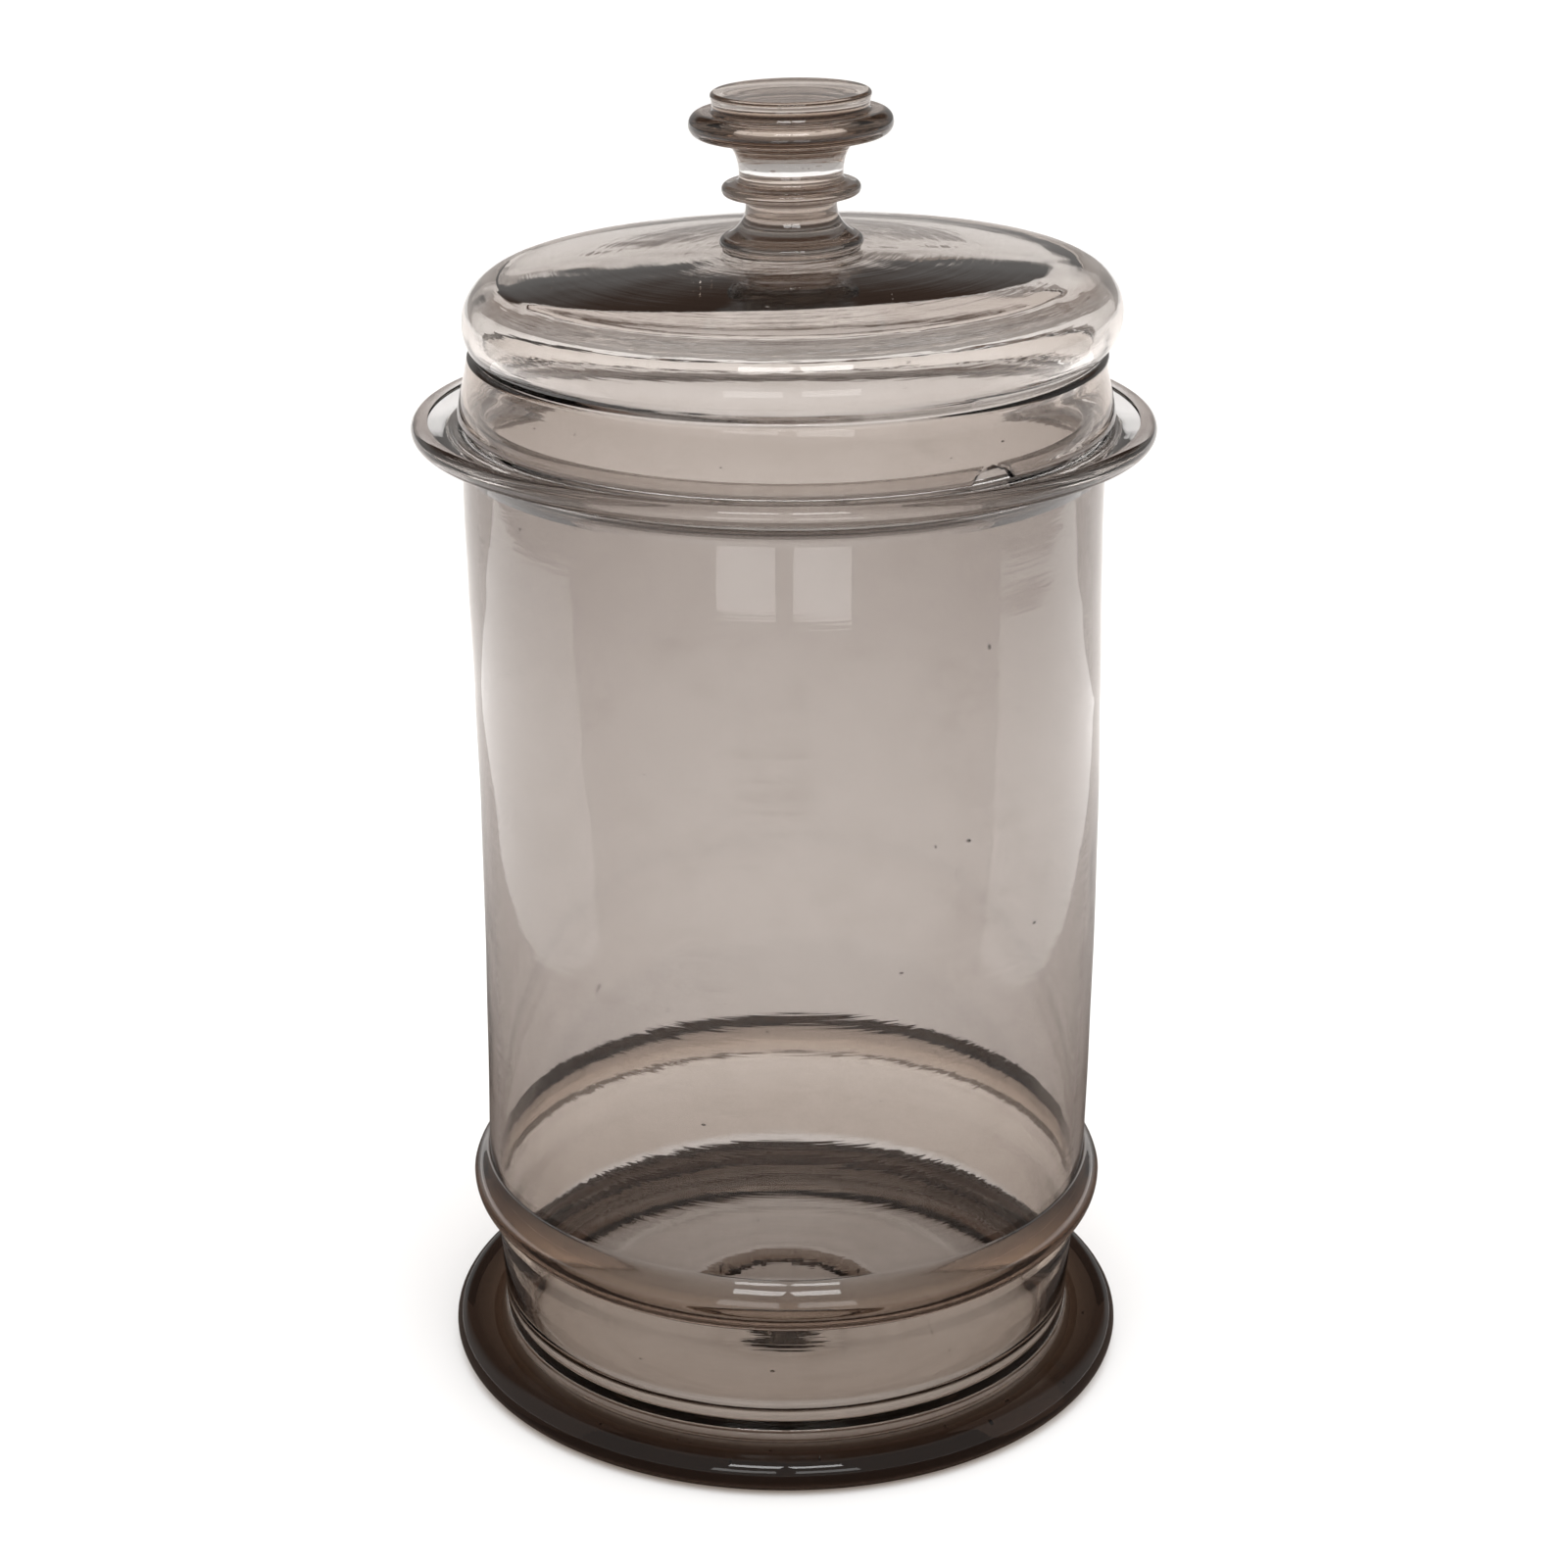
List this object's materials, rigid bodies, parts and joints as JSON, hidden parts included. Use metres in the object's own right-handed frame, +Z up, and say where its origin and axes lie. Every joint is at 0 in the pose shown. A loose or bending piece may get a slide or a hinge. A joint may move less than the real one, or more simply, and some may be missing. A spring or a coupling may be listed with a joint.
{
  "type": "specimen jar",
  "caption": "Cylindrical blown-glass display jar with a heavy foot, a ringed base, a flanged mouth and a lift-off domed lid with a turned knob.",
  "frame": {"origin": "centre of the foot's underside, on the jar's axis", "axes": "+Z up along the jar's axis; the jar is round, and -Y is the side that the camera of the reference view is on"},
  "size_m": [0.2484, 0.2484, 0.45],
  "materials": {
    "wall_glass": "clear blown glass, smoky purple-grey",
    "floor_glass": "clear thick blown glass, faint tooling rings",
    "foot_glass": "thick smoky blown glass",
    "ring_glass": "solid trailed ring of smoky glass",
    "collar_glass": "clear tooled glass, smoky purple-grey",
    "lid_glass": "clear blown glass, smoky purple-grey",
    "knob_glass": "solid clear tooled glass"
  },
  "bodies": {
    "jar": {"foot_ring": "foot_glass", "jar_floor": "floor_glass", "base_wall": "wall_glass", "pontil_scar": "foot_glass", "base_ring": "ring_glass", "body_cylinder": "wall_glass", "mouth_collar": "collar_glass", "collar_bead": "ring_glass"},
    "lid": {"lid_skirt": "lid_glass", "lid_dome": "lid_glass", "knob_pad": "knob_glass", "knob_collar": "knob_glass", "knob_waist": "knob_glass", "knob_ring": "knob_glass", "knob_button": "knob_glass"}
  },
  "joints": [
    {"name": "lid_lift", "type": "slide", "parent": "jar", "child": "lid", "axis": [0, 0, 1], "range_m": [0, 0.4]}
  ]
}
